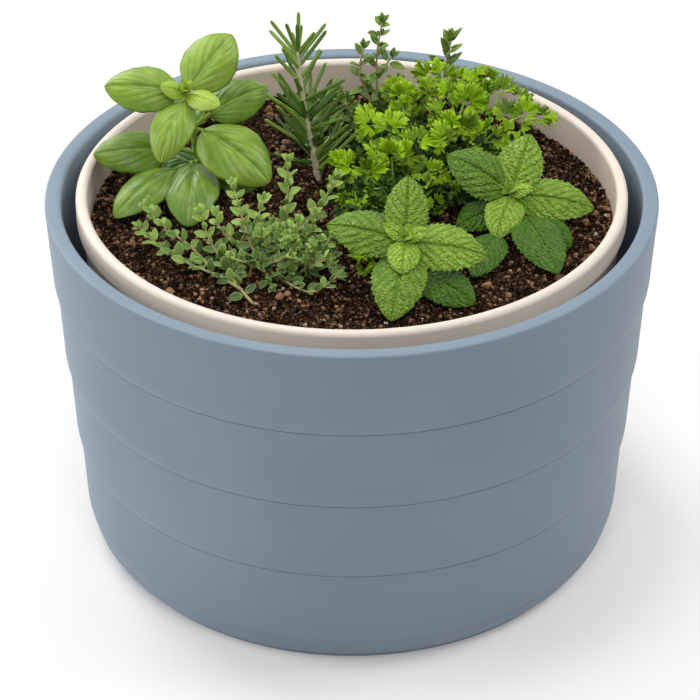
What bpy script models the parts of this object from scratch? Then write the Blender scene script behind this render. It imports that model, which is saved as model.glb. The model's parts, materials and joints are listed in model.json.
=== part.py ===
# Stepped planter: a blue-grey outer pot, a cream liner pot standing in it, soil and kitchen herbs.
# Metres, +Z up. The origin is on the floor under the middle of the pot, and the front is -Y.
import math

import bmesh
import bpy
from mathutils import Matrix, Vector, noise

# Outer pot, from the floor up
rim_radius = 0.175
rim_width = 0.0092
rim_round = 0.0020
tier_count = 4
tier_pitch = 0.0505
tier_drop = 0.0041
tier_curl = 0.0020
tier_curl_height = 0.0110
tier_ledge = 0.0003
base_round_height = 0.0180
base_round_inset = 0.0090
base_corner = 0.0020
pot_wall = 0.0045
pot_floor = 0.0050
foot_height = 0.0030
foot_width = 0.0070
seat_ring_height = 0.0040
seat_ring_width = 0.0040

# Liner pot
finger_gap = 0.0083
lip_stand = 0.0030
lip_width = 0.0067
lip_round = 0.0026
lip_depth = 0.0140
liner_wall = 0.0042
liner_draft = math.radians(3.0)
liner_floor = 0.0035
liner_foot_height = 0.0040
liner_foot_width = 0.0040
liner_foot_inset = 0.0080
drain_radius = 0.0025
drain_circle = 0.0900
drain_count = 8

# Soil
soil_drop = 0.0205
soil_mound = 0.0030
soil_ripple = 0.0034
soil_ripple_size = 0.0155
soil_calm = 0.0200
soil_rings = 11

# Herbs: sizes and rows in millimetres for a liner mouth of this radius, and they grow with the mouth
herb_mouth = 150.8
leaf_thickness = 1.2
small_leaf_thickness = 1.0
root_depth = 24.0
root_collar = 2.0
basil_root = 3.2
mint_root = 2.2
rosemary_root = 3.2
thyme_root = 2.2
sprig_root = 2.0
parsley_root = 4.0
basil_stem = 2.6
mint_stem = 1.7
rosemary_trunk = 2.4
needle_length = 33.0
needle_spacing = 6.0
needle_size = (2.8, 1.6)
needle_turn = math.radians(24.0)
thyme_stem = 1.2
creeping_stem = 1.0
thyme_leaf_width = 5.0
parsley_stalk = 1.4
parsley_branch = 0.9
head_lobes = 5
head_notch = 0.66
head_cup = 0.16
head_lean = 0.012
head_lean_most = 0.75
light_lean = 0.25

# Angles between leaf and stem, at the foot and at the tip of a shoot
thyme_rise = (math.radians(18.0), math.radians(48.0))
needle_rise = (math.radians(32.0), math.radians(74.0))

# Clearances and smoothness
touch_gap = 0.0003
seat_clearance = 0.0010
turn_steps = 48
sharp_angle = math.radians(32.0)

# Heights and radii that follow from the sizes above
rim_plane = base_round_height + tier_count * tier_pitch
pot_top = rim_plane + rim_round
tier_start = rim_radius - tier_ledge
base_line_radius = tier_start - tier_count * tier_drop
pot_mouth_radius = rim_radius - rim_width
pot_bottom_radius = base_line_radius - pot_wall
floor_top = foot_height + pot_floor

lip_radius = pot_mouth_radius - finger_gap
mouth_radius = lip_radius - lip_width
lip_top = pot_top + lip_stand
liner_foot_bottom = floor_top + touch_gap
liner_floor_bottom = liner_foot_bottom + liner_foot_height
liner_floor_top = liner_floor_bottom + liner_floor
soil_edge = lip_top - soil_drop
herb_unit = mouth_radius / herb_mouth


def liner_inside(height):
    """Radius of the liner's inner wall at a height."""
    return mouth_radius - (lip_top - height) * math.tan(liner_draft)


liner_foot_radius = liner_inside(liner_floor_top) - liner_foot_inset


def soil_height(x, y):
    """Height of the soil's smooth mound, before its ripple."""
    share = math.hypot(x, y) / mouth_radius
    return soil_edge + soil_mound * (1.0 - share * share)


def clear_scene():
    for thing in list(bpy.data.objects):
        bpy.data.objects.remove(thing, do_unlink=True)


def plastic(name, colour, roughness):
    """A plain Principled material; every piece has its own."""
    material = bpy.data.materials.new(name)
    material.use_nodes = True
    shader = material.node_tree.nodes["Principled BSDF"]
    shader.inputs["Base Color"].default_value = (*colour, 1.0)
    shader.inputs["Roughness"].default_value = roughness
    shader.inputs["Metallic"].default_value = 0.0
    return material


def finish(name, mesh_data, material, smooth=True):
    """Turn a bmesh into a named object."""
    bmesh.ops.recalc_face_normals(mesh_data, faces=mesh_data.faces)
    mesh = bpy.data.meshes.new(name)
    mesh_data.to_mesh(mesh)
    mesh_data.free()
    mesh.materials.append(material)
    if smooth:
        mesh.shade_smooth()
        mesh.set_sharp_from_angle(angle=sharp_angle)
    thing = bpy.data.objects.new(name, mesh)
    bpy.context.scene.collection.objects.link(thing)
    return thing


def arc(centre, radius, start, end, steps):
    """Points of a round corner in the turning plane, angles in degrees from outwards to up."""
    points = []
    for step in range(steps + 1):
        angle = math.radians(start + (end - start) * step / steps)
        points.append((centre[0] + radius * math.cos(angle), centre[1] + radius * math.sin(angle)))
    return points


def turned(profile, steps=turn_steps):
    """Spin a profile of (radius, height) points, which starts and ends on the axis."""
    body = bmesh.new()
    row = [body.verts.new((radius, 0.0, height)) for radius, height in profile]
    edges = [body.edges.new(pair) for pair in zip(row, row[1:])]
    bmesh.ops.spin(body, geom=row + edges, cent=(0, 0, 0), axis=(0, 0, 1),
                   angle=math.tau, steps=steps, use_merge=True)
    bmesh.ops.remove_doubles(body, verts=body.verts, dist=0.00001)
    return body


def cut_away(thing, cutter):
    """Subtract a cutter and keep it out of the model."""
    cutter.hide_render = True
    cutter.display_type = "WIRE"
    modifier = thing.modifiers.new("cut " + cutter.name, "BOOLEAN")
    modifier.operation = "DIFFERENCE"
    modifier.solver = "EXACT"
    modifier.object = cutter


def tier_outline():
    """The outer wall from the rim down to the base: straight, curled in, a ledge, and again."""
    points = []
    for tier in range(tier_count):
        top = rim_plane - tier * tier_pitch
        bottom = top - tier_pitch
        start = tier_start - tier * tier_drop
        end = start - tier_drop + tier_ledge
        if tier > 0:
            points.append((start, top))
        for share in (0.0, 0.55, 1.0):
            points.append((end + tier_curl * (1.0 - share * share),
                           bottom + tier_curl_height * (1.0 - share)))
    return points


def base_outline():
    """The rounded base edge below the last tier, down to the foot."""
    foot_radius = base_line_radius - base_round_inset
    points = [(base_line_radius, base_round_height)]
    for share in (0.4, 0.75):
        points.append((base_line_radius - base_round_inset * share * share,
                       base_round_height - (base_round_height - base_corner) * share))
    points.append((foot_radius, base_corner))
    points += arc((foot_radius - base_corner, base_corner), base_corner, -30, -90, 2)
    return points


def build_outer_pot():
    """One moulding: floor with its seat ring, tapered wall, flat rim, tiers and foot ring."""
    foot_outer = base_line_radius - base_round_inset - base_corner
    seat_inner = liner_foot_radius + seat_clearance
    seat_outer = seat_inner + seat_ring_width
    seat_top = floor_top + seat_ring_height
    inner_corner = 0.6 * base_round_height
    profile = [(0.0, floor_top), (seat_inner, floor_top), (seat_inner, seat_top), (seat_outer, seat_top),
               (seat_outer, floor_top)]
    profile += arc((pot_bottom_radius - inner_corner, floor_top + inner_corner), inner_corner, -90, 0, 3)
    profile += arc((pot_mouth_radius + rim_round, pot_top - rim_round), rim_round, 180, 90, 2)
    profile += arc((rim_radius - rim_round, rim_plane), rim_round, 90, 0, 3)
    profile += tier_outline()
    profile += base_outline()
    profile += [(foot_outer - foot_width, 0.0), (foot_outer - foot_width, foot_height), (0.0, foot_height)]
    return finish("outer_pot", turned(profile), plastic("blue_grey_plastic", (0.205, 0.255, 0.305), 0.5))


def build_inner_pot():
    """One moulding: thick rounded lip, drafted wall, floor with drain holes, foot ring."""
    lip_under = lip_top - lip_depth
    corner = 1.6 * liner_floor
    bottom_inner = liner_inside(liner_floor_top + corner)
    profile = [(0.0, liner_floor_top)]
    profile += arc((bottom_inner - corner, liner_floor_top + corner), corner, -90, 0, 2)
    profile += arc((mouth_radius + lip_round, lip_top - lip_round), lip_round, 180, 90, 3)
    profile += arc((lip_radius - lip_round, lip_top - lip_round), lip_round, 90, 0, 3)
    profile += [(lip_radius, lip_under), (liner_inside(lip_under) + liner_wall, lip_under)]
    bottom_outer = liner_inside(liner_floor_top) + liner_wall
    profile += arc((bottom_outer - corner, liner_floor_bottom + corner), corner, 0, -90, 2)
    profile += [(liner_foot_radius, liner_floor_bottom), (liner_foot_radius, liner_foot_bottom),
                (liner_foot_radius - liner_foot_width, liner_foot_bottom),
                (liner_foot_radius - liner_foot_width, liner_floor_bottom), (0.0, liner_floor_bottom)]
    pot = finish("inner_pot", turned(profile), plastic("cream_plastic", (0.78, 0.68, 0.58), 0.45))

    drill = bmesh.new()
    spots = [Vector((0.0, 0.0, 0.0))]
    for hole in range(drain_count):
        angle = math.tau * (hole + 0.5) / drain_count
        spots.append(Vector((drain_circle * math.cos(angle), drain_circle * math.sin(angle), 0.0)))
    for spot in spots:
        made = bmesh.ops.create_cone(drill, cap_ends=True, segments=10, radius1=drain_radius,
                                     radius2=drain_radius, depth=4.0 * liner_floor)
        bmesh.ops.translate(drill, verts=made["verts"],
                            vec=spot + Vector((0.0, 0.0, liner_floor_bottom + 0.5 * liner_floor)))
    cut_away(pot, finish("drain_drill", drill, plastic("drill", (1.0, 0.0, 0.0), 0.5), smooth=False))
    return pot


def build_soil(roots):
    """The fill of the liner: drafted like its wall, mounded and lumpy on top, pressed flat round
    each stem and bored for the roots."""
    bottom = liner_floor_top + touch_gap
    corner = 1.6 * liner_floor
    wall_gap = touch_gap / math.cos(liner_draft)
    bottom_radius = liner_inside(bottom + corner) - wall_gap
    profile = [(0.0, bottom), (bottom_radius - corner, bottom), (bottom_radius, bottom + corner)]
    edge_radius = liner_inside(soil_edge) - wall_gap
    for ring in range(soil_rings + 1):
        radius = edge_radius * (1.0 - ring / soil_rings)
        profile.append((radius, soil_height(radius, 0.0)))
    body = turned(profile)
    for vert in body.verts:
        inward = 1.0 - math.hypot(vert.co.x, vert.co.y) / edge_radius
        if vert.co.z > soil_edge - soil_ripple and inward > 0.05:
            beside = min(math.dist(vert.co.xy, root) for root, radius in roots)
            lump = soil_ripple * noise.noise(vert.co / soil_ripple_size)
            vert.co.z += lump * min(1.0, beside / soil_calm)
    soil = finish("potting_soil", body, plastic("soil", (0.035, 0.022, 0.014), 0.95))

    bores = bmesh.new()
    for (x, y), radius in roots:
        depth = root_depth * herb_unit + 2.0 * soil_mound
        made = bmesh.ops.create_cone(bores, cap_ends=True, segments=12, radius1=radius,
                                     radius2=radius, depth=depth)
        top = soil_height(x, y) + 2.0 * soil_mound
        bmesh.ops.translate(bores, verts=made["verts"], vec=(x, y, top - 0.5 * depth))
    cut_away(soil, finish("root_bores", bores, plastic("bore", (1.0, 0.0, 0.0), 0.5), smooth=False))
    return soil


# Herbs. A spot is (across, away, up) in millimetres: from the pot's axis, towards the back,
# and above the soil's mean height.

def spot(across, away, up):
    ground = soil_edge + 0.5 * soil_mound
    return Vector((across * herb_unit, away * herb_unit, ground + up * herb_unit))


def grow(body, path, widths, depths, sides, twist=0.0):
    """Sweep a cross-section along a path by extruding one face, with a turn at each step if twist is set.
    It ends in a point if its last width is 0. Returns the side faces of each step."""
    start = bmesh.ops.create_circle(body, cap_ends=True, segments=sides, radius=1.0,
                                    matrix=Matrix.Rotation(math.pi / sides, 4, "Z"))
    face = start["verts"][0].link_faces[0]
    shape = [vert.co.copy() for vert in face.verts]
    up = Vector((0.0, 0.0, 1.0))
    walls = []
    for index, point in enumerate(path):
        ahead = path[min(index + 1, len(path) - 1)] - path[max(index - 1, 0)]
        across = ahead.cross(up)
        if across.length < 0.3 * ahead.length:
            across = ahead.cross(Vector((0.0, 1.0, 0.0)))
        across.normalize()
        above = across.cross(ahead).normalized()
        if index == 1:
            made = bmesh.ops.extrude_face_region(body, geom=[face])
            face = next(part for part in made["geom"] if isinstance(part, bmesh.types.BMFace))
        elif index > 1:
            face = bmesh.ops.extrude_discrete_faces(body, faces=[face])["faces"][0]
        turn = Matrix.Rotation(twist * index, 3, "Z")
        for vert, corner in zip(face.verts, shape):
            place = turn @ corner
            vert.co = point + across * place.x * widths[index] + above * place.y * depths[index]
        if index > 0:
            walls.append([wall for edge in face.edges for wall in edge.link_faces if wall is not face])
    if widths[-1] == 0.0:
        bmesh.ops.pointmerge(body, verts=list(face.verts), merge_co=path[-1])
    return walls


def stem(body, points, thick, taper=0.6, sides=5):
    """A round stem through spots, tapering to a share of its radius (millimetres)."""
    path = [spot(*point) for point in points]
    last = len(path) - 1
    radii = [thick * (1.0 + (taper - 1.0) * index / last) * herb_unit for index in range(last + 1)]
    grow(body, path, radii, radii, sides)


def leaf(body, base, tip, width, sag, stalk):
    """A pointed oval leaf from a spot to its tip, arched by sag; a share of it is bare stalk."""
    begin = spot(*base)
    end = spot(*tip)
    path = []
    widths = []
    depths = []
    for along, share in leaf_outline:
        place = stalk + (1.0 - stalk) * along if along > 0.0 else 0.0
        rise = 4.0 * sag * herb_unit * place * (1.0 - place)
        path.append(begin.lerp(end, place) + Vector((0.0, 0.0, rise)))
        widths.append(0.5 * width * share * herb_unit)
        depths.append(0.5 * leaf_thickness * herb_unit * math.ceil(share))
    grow(body, path, widths, depths, 4)


# Share of a leaf's length, share of its width
leaf_outline = ((0.0, 0.06), (0.02, 0.10), (0.22, 0.80), (0.48, 1.0), (0.76, 0.70), (1.0, 0.0))


def knuckle(body, place, radius):
    """A small knob where shoots meet."""
    bmesh.ops.create_icosphere(body, subdivisions=1, radius=radius * herb_unit,
                               matrix=Matrix.Translation(spot(*place)))


def point_on(points, height):
    """The spot at a height on a stem given by its points."""
    for low, high in zip(points, points[1:]):
        if low[2] <= height <= high[2]:
            share = (height - low[2]) / (high[2] - low[2])
            return tuple(a + (b - a) * share for a, b in zip(low, high))
    return points[-1]


def herb(name, body, root, root_radius, colour):
    """Fuse the stems and leaves with a root stub that stands in the soil's bore."""
    x, y = root[0] * herb_unit, root[1] * herb_unit
    radius = root_radius * herb_unit
    depth = (root_depth + root_collar) * herb_unit - touch_gap
    top = soil_height(x, y) + root_collar * herb_unit
    stub = bmesh.new()
    bmesh.ops.create_cone(stub, cap_ends=True, segments=8, radius1=0.5 * radius, radius2=radius, depth=depth)
    bmesh.ops.translate(stub, verts=stub.verts, vec=(x, y, top - 0.5 * depth))
    root_stub = finish(name + "_root", stub, plastic(name + "_root", (0.3, 0.2, 0.1), 0.8), smooth=False)
    root_stub.hide_render = True
    root_stub.display_type = "WIRE"
    thing = finish(name, body, plastic(name, colour, 0.5), smooth=False)
    join = thing.modifiers.new("grow together", "BOOLEAN")
    join.operation = "UNION"
    join.solver = "EXACT"
    join.use_self = True
    join.object = root_stub
    return ((x, y), radius + touch_gap)


def broadleaf(name, stalk, thick, root_radius, leaves, colour):
    """A stem with broad leaves: height on the stem, tip, width, sag, share that is bare stalk."""
    body = bmesh.new()
    stem(body, stalk, thick)
    for height, tip, width, sag, bare in leaves:
        leaf(body, point_on(stalk, height), tip, width, sag, bare)
    return herb(name, body, stalk[0], root_radius, colour)


def build_basil():
    stalk = [(-87, 35, -6), (-87, 35, 3), (-90, 34, 19), (-92, 33, 37), (-95, 32, 61)]
    leaves = [
        (59, (-142, 36, 63), 27, 5, 0.12), (59, (-69, 62, 83), 30, 5, 0.10),
        (57, (-109, 0, 33), 24, 7, 0.10), (60, (-109, 26, 67), 11, 2, 0.05),
        (60, (-76, 14, 63), 12, 2, 0.05), (37, (-49, 60, 50), 25, 5, 0.25),
        (37, (-47, 5, 17), 30, 8, 0.26), (20, (-149, 20, 27), 26, 4, 0.30),
        (14, (-135, -17, 7), 25, 7, 0.30), (16, (-93, -24, 5), 31, 8, 0.18),
        (9, (-110, 52, 9), 20, 3, 0.25), (11, (-56, 20, 4), 20, 3, 0.30)]
    return broadleaf("basil", stalk, basil_stem, basil_root, leaves, (0.20, 0.40, 0.07))


def build_mint_front():
    stalk = [(31, -76, -6), (31, -76, 3), (30, -78, 15), (29, -80, 31)]
    leaves = [
        (29, (31, -56, 57), 23, 2, 0.08), (28, (-14, -72, 35), 27, 4, 0.08),
        (27, (74, -80, 20), 27, 5, 0.08), (21, (21, -123, 5), 29, 6, 0.10),
        (30, (27, -101, 21), 17, 2, 0.05), (30, (19, -76, 37), 9, 1, 0.05),
        (30, (40, -84, 37), 9, 1, 0.05), (9, (67, -104, 4), 24, 3, 0.30)]
    return broadleaf("mint_front", stalk, mint_stem, mint_root, leaves, (0.12, 0.30, 0.08))


def build_mint_right():
    stalk = [(93, -6, -6), (93, -6, 3), (92, -8, 10), (90, -11, 20)]
    leaves = [
        (19, (102, 16, 43), 26, 2, 0.08), (18, (54, 2, 37), 28, 5, 0.08),
        (17, (138, -14, 11), 25, 5, 0.08), (18, (81, -40, 7), 21, 3, 0.08),
        (11, (114, -73, 4), 26, 4, 0.30), (9, (123, -45, 4), 19, 2, 0.35),
        (8, (59, -26, 6), 20, 3, 0.30), (7, (67, -76, 4), 20, 2, 0.45),
        (19, (81, -6, 25), 9, 1, 0.05), (19, (100, -17, 22), 9, 1, 0.05)]
    return broadleaf("mint_right", stalk, mint_stem, mint_root, leaves, (0.12, 0.30, 0.08))


def leaf_from(body, wall, ahead, way, length, width, thickness):
    """Pull a leaf out of one side face of a stem: a broad middle, then a point."""
    root = wall.calc_center_median()
    side = ahead.cross(way).normalized()
    broad, thin = (side, ahead) if abs(side.z) <= abs(ahead.z) else (ahead, side)
    face = bmesh.ops.extrude_discrete_faces(body, faces=[wall])["faces"][0]
    for vert in face.verts:
        offset = vert.co - root
        vert.co = (root + way * 0.5 * length + broad * math.copysign(0.5 * width, offset.dot(broad))
                   + thin * math.copysign(0.5 * thickness, offset.dot(thin)))
    face = bmesh.ops.extrude_discrete_faces(body, faces=[face])["faces"][0]
    bmesh.ops.pointmerge(body, verts=list(face.verts), merge_co=root + way * length)


def walk(path, distance):
    """The point at a distance along a path."""
    for low, high in zip(path, path[1:]):
        run = (high - low).length
        if distance <= run or high is path[-1]:
            return low.lerp(high, min(distance / run, 1.0))
        distance -= run


def leafy_shoot(body, points, thick, spacing, length, leaf_size, rise, crossed=True, twist=0.0):
    """A square stem through spots, with leaves growing out of its sides at each node: thyme has
    crossed pairs and rosemary has whorls. The angle to the stem goes from rise[0] to rise[1]."""
    path = [spot(*point) for point in points]
    total = sum((high - low).length for low, high in zip(path, path[1:]))
    nodes = max(1, round(total / (spacing * herb_unit)) - 1)
    step = total / (nodes + 1)
    half_node = 0.5 * thick * herb_unit
    stops = [0.0]
    for node in range(nodes):
        stops += [step * (node + 1) - half_node, step * (node + 1) + half_node]
    stops.append(total)
    places = [walk(path, stop) for stop in stops]
    radii = [thick * (1.0 - 0.4 * stop / total) * herb_unit for stop in stops]
    walls = grow(body, places, radii, radii, 4, twist)
    bare_below = soil_edge + soil_mound + soil_ripple
    for node in range(nodes):
        low, high = places[2 * node + 1], places[2 * node + 2]
        ahead = (high - low).normalized()
        angle = rise[0] + (rise[1] - rise[0]) * node / nodes
        for side, wall in enumerate(walls[2 * node + 1]):
            outward = wall.calc_center_median() - low
            outward = (outward - ahead * outward.dot(ahead)).normalized()
            way = outward * math.cos(angle) + ahead * math.sin(angle)
            skipped = crossed and side % 2 != node % 2
            if skipped or low.z + min(0.0, way.z) * length * herb_unit < bare_below:
                continue
            leaf_from(body, wall, ahead, way, length * herb_unit, leaf_size[0] * herb_unit,
                      leaf_size[1] * herb_unit)


def build_rosemary():
    """A woody trunk with long needles in turning whorls."""
    trunk = [(-20, 38, -6), (-20, 38, 3), (-24, 41, 25), (-28, 44, 50), (-31, 46, 82)]
    body = bmesh.new()
    leafy_shoot(body, trunk, rosemary_trunk, needle_spacing, needle_length, needle_size, needle_rise,
                crossed=False, twist=needle_turn)
    return herb("rosemary", body, trunk[0], rosemary_root, (0.07, 0.17, 0.06))


def build_creeping_thyme():
    """A mat of shoots that lie out from one crown and turn up at their ends."""
    crown = (-50, -62, 4)
    elbow = (-64, -84, 6)
    fork = (-86, -69, 6)
    shoots = [
        [(-50, -62, -6), crown], [crown, elbow], [elbow, (-58, -92, 5), (-54, -100, 5)],
        [elbow, (-74, -62, 12), (-84, -48, 29)], [elbow, fork, (-105, -52, 7), (-119, -38, 13)],
        [fork, (-98, -46, 12), (-112, -34, 24)],
        [crown, (-57, -56, 15), (-61, -50, 27), (-66, -40, 42)], [crown, (-44, -86, 5)],
        [crown, (-38, -34, 12), (-36, -26, 24), (-36, -17, 44)],
        [crown, (-30, -40, 12), (-18, -27, 20), (-8, -20, 36)],
        [crown, (-30, -80, 5), (-9, -86, 8)], [crown, (-24, -66, 8), (-10, -52, 17)],
        [crown, (-53, -40, 16), (-49, -30, 27)], [crown, (-72, -48, 16), (-76, -40, 24)]]
    body = bmesh.new()
    for place, radius in ((crown, 2.4), (elbow, 1.8), (fork, 1.6)):
        knuckle(body, place, radius)
    for points in shoots:
        leafy_shoot(body, points, creeping_stem, 13.0, 9.5, (thyme_leaf_width, small_leaf_thickness),
                    thyme_rise)
    return herb("creeping_thyme", body, crown[:2], thyme_root, (0.14, 0.27, 0.10))


def build_upright_thyme():
    shoots = [
        [(12, 102, -6), (12, 102, 3), (15, 101, 25), (15, 100, 50), (18, 100, 72)],
        [(13, 102, 13), (5, 99, 38), (7, 98, 56)], [(15, 101, 34), (24, 102, 48)],
        [(12, 102, 1), (22, 106, 14), (28, 108, 28)], [(12, 102, 4), (1, 98, 12), (-6, 96, 22)]]
    body = bmesh.new()
    knuckle(body, (12, 102, 2.5), 2.6)
    for points in shoots:
        leafy_shoot(body, points, thyme_stem, 11.0, 10.0, (thyme_leaf_width, small_leaf_thickness),
                    thyme_rise)
    return herb("upright_thyme", body, shoots[0][0], thyme_root, (0.12, 0.26, 0.08))


def build_thyme_sprig():
    points = [(52, 119, -6), (52, 119, 3), (57, 120, 33), (60, 120, 54)]
    body = bmesh.new()
    leafy_shoot(body, points, thyme_stem, 10.0, 8.5, (thyme_leaf_width, small_leaf_thickness), thyme_rise)
    return herb("thyme_sprig", body, points[0], sprig_root, (0.12, 0.26, 0.08))


def parsley_head(body, centre, radius, lean):
    """A cupped leaf head with a lobed edge, the shape of the leaflets at the end of one stalk."""
    made = bmesh.ops.create_circle(body, cap_ends=True, cap_tris=True, segments=2 * head_lobes, radius=1.0)
    faces = list({face for vert in made["verts"] for face in vert.link_faces})
    top = bmesh.ops.extrude_face_region(body, geom=faces)
    raised = [part for part in top["geom"] if isinstance(part, bmesh.types.BMVert)]
    place = spot(*centre)
    tilt = Vector((lean[0], lean[1], 1.0)).normalized().to_track_quat("Z", "Y")
    for vert in list(made["verts"]) + raised:
        flat = Vector((vert.co.x, vert.co.y))
        step = round(math.atan2(flat.y, flat.x) / math.tau * 2 * head_lobes)
        on_edge = flat.length > 0.5
        reach = radius * (head_notch if step % 2 else 1.0) * on_edge
        lift = leaf_thickness * (vert in raised) + head_cup * radius * on_edge
        vert.co = place + tilt @ Vector((flat.x * reach, flat.y * reach, lift)) * herb_unit


def build_parsley():
    """Stalks rise from one crown and fork into leaf heads, as parsley's compound leaves do."""
    crown = Vector((46.0, 25.0))
    stalks = [  # where the stalk forks, then each head's middle (across, away, up) and radius
        ((62, 66, 22), [(54, 90, 40, 15), (73, 93, 37, 13), (56, 62, 42, 16)]),
        ((77, 52, 17), [(88, 79, 36, 14), (104, 57, 33, 15), (77, 45, 28, 13), (92, 36, 22, 10)]),
        ((32, 51, 18), [(30, 79, 33, 14), (12, 46, 32, 15)]),
        ((50, 33, 17), [(57, 38, 36, 13), (38, 28, 31, 13)]),
        ((24, 13, 11), [(23, 19, 26, 13), (0, 12, 24, 14), (14, -4, 15, 11)]),
        ((49, 12, 7), [(52, 6, 18, 12), (39, -8, 10, 9)]),
        ((21, -30, 9), [(8, -62, 10, 9), (0, -30, 13, 10)])]
    body = bmesh.new()
    knuckle(body, (*crown, 2.0), 4.0)
    for fork, heads in stalks:
        low = crown + (Vector(fork[:2]) - crown).normalized() * parsley_stalk
        stem(body, [(*low, 3.0), fork], parsley_stalk, 0.8)
        knuckle(body, fork, 1.2 * parsley_stalk)
        for across, away, up, radius in heads:
            middle = Vector((across, away))
            inward = Vector(fork[:2]) - middle
            joint = middle + inward.normalized() * min(0.45 * radius, 0.7 * inward.length)
            lean = (middle - crown) * head_lean - Vector((0.0, light_lean))
            lean *= min(1.0, head_lean_most / lean.length)
            level = up - lean.dot(joint - middle) + 0.6 * head_cup * radius + leaf_thickness
            stem(body, [fork, (*joint, level)], parsley_branch, 0.9, 4)
            parsley_head(body, (across, away, up), radius, lean)
    return herb("parsley", body, crown, parsley_root, (0.13, 0.33, 0.04))


clear_scene()
build_outer_pot()
build_inner_pot()
roots = [build_basil(), build_rosemary(), build_creeping_thyme(), build_upright_thyme(),
         build_thyme_sprig(), build_parsley(), build_mint_front(), build_mint_right()]
build_soil(roots)
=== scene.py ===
import json
import random
from math import cos, dist, exp, hypot, pi, radians, sin, sqrt, tan, tau

import bmesh
import bpy
from mathutils import Matrix, Vector, noise

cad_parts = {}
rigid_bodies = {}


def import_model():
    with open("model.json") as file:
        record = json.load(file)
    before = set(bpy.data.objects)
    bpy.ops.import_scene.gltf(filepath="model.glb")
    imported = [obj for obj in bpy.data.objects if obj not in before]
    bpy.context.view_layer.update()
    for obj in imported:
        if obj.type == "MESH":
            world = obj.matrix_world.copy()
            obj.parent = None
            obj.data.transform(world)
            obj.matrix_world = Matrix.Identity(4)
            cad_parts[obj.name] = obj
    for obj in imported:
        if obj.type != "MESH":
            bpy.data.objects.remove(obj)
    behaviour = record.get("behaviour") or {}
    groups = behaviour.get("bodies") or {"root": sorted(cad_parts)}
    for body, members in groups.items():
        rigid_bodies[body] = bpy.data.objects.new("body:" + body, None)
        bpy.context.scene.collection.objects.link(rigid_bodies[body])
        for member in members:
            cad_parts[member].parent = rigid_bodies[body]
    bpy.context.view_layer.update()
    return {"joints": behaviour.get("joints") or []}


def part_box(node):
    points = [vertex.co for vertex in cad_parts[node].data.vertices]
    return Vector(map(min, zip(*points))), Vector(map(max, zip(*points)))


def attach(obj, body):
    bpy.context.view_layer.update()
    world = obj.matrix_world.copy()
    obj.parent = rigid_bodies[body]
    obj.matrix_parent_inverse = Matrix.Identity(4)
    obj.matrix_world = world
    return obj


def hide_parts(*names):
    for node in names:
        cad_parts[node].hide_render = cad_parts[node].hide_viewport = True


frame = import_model()
mm = 0.001
goldenTurn = 2.39996      # radians from each leaf to the next, so that none covers another

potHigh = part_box("outer_pot")[1]
linerLow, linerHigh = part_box("inner_pot")
soilLow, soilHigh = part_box("potting_soil")
lift = frame["joints"][0]["child"]     # the body that lifts out: liner, soil and herbs
shell = frame["joints"][0]["parent"]   # the body that stays: the outer pot


# Shader wiring

class Wire:
    # one socket of a material; sums on wires add Math nodes
    def __init__(self, look, socket):
        self.look = look
        self.socket = socket

    def math(self, operation, *values):
        return self.look.node("Math", {"operation": operation}, dict(enumerate(values)))

    def __add__(self, other):
        return self.math("ADD", self, other)

    def __sub__(self, other):
        return self.math("SUBTRACT", self, other)

    def __rsub__(self, other):
        return self.math("SUBTRACT", other, self)

    def __mul__(self, other):
        return self.math("MULTIPLY", self, other)

    def __pow__(self, other):
        return self.math("POWER", self, other)

    def __abs__(self):
        return self.math("ABSOLUTE", self)

    __radd__ = __add__
    __rmul__ = __mul__


class Look:
    # a material, and the one way that nodes are added to it; its colours are as they look on screen, 0 to 255
    def __init__(self, name, tree=None, **fixed):
        self.tree = tree
        if tree is None:
            self.material = bpy.data.materials.new(name)
            self.material.use_nodes = True
            self.tree = self.material.node_tree
            self.surface = self.tree.nodes["Principled BSDF"]
            self.feed(**fixed)

    def fill(self, sockets, values):      # with wires, colours or numbers
        for key, value in values.items():
            if isinstance(value, Wire):
                self.tree.links.new(value.socket, sockets[key])
            else:
                sockets[key].default_value = tint(*value) if isinstance(value, tuple) else value

    def node(self, kind, settings=None, sockets=None, output=0):
        made = self.tree.nodes.new("ShaderNode" + kind)
        for key, value in (settings or {}).items():
            if key == "stops":
                setStops(made.color_ramp, value)
            else:
                setattr(made, key, value)
        self.fill(made.inputs, sockets or {})
        return Wire(self, made.outputs[output])

    def feed(self, **values):      # to the surface's own sockets
        self.fill(self.surface.inputs, {spaced(words): value for words, value in values.items()})

    def finished(self, colour, relief, depth, **values):      # the material, with its fine relief
        normal = self.node("Bump", None, {"Height": relief, "Distance": depth, "Strength": 1.0})
        self.feed(baseColor=colour, normal=normal, **values)
        return self.material

    def place(self):
        return self.node("TexCoord", output="Object")

    def noise(self, scale, detail=2.0, rough=0.5):
        return self.node("TexNoise", None, {"Vector": self.place(), "Scale": scale,
                                            "Detail": detail, "Roughness": rough})

    def ramp(self, wire, *stops):
        return self.node("ValToRGB", {"stops": stops}, {0: wire})

    def smooth(self, wire, low, high):      # 0 below low, 1 above high, soft between
        return self.node("MapRange", {"interpolation_type": "SMOOTHSTEP"},
                         {"Value": wire, "From Min": low, "From Max": high})

    def mix(self, share, first, second):      # of two colours
        return self.node("Mix", {"data_type": "RGBA"}, {0: share, 6: first, 7: second}, output=2)

    def fade(self, first, second, wire, low, high, most=1.0):      # two colours, as a wire goes low to high
        share = self.smooth(wire, low, high)
        return self.mix(share if most == 1.0 else share * most, first, second)

    def seen(self):      # 1 for rays that look at a thing, straight or by a reflection, 0 for rays of light
        path = self.node("LightPath", output="Is Camera Ray")
        for words in ("Is Glossy Ray", "Is Transmission Ray"):
            path = path.math("MAXIMUM", path, self.node("LightPath", output=words))
        return path


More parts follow.
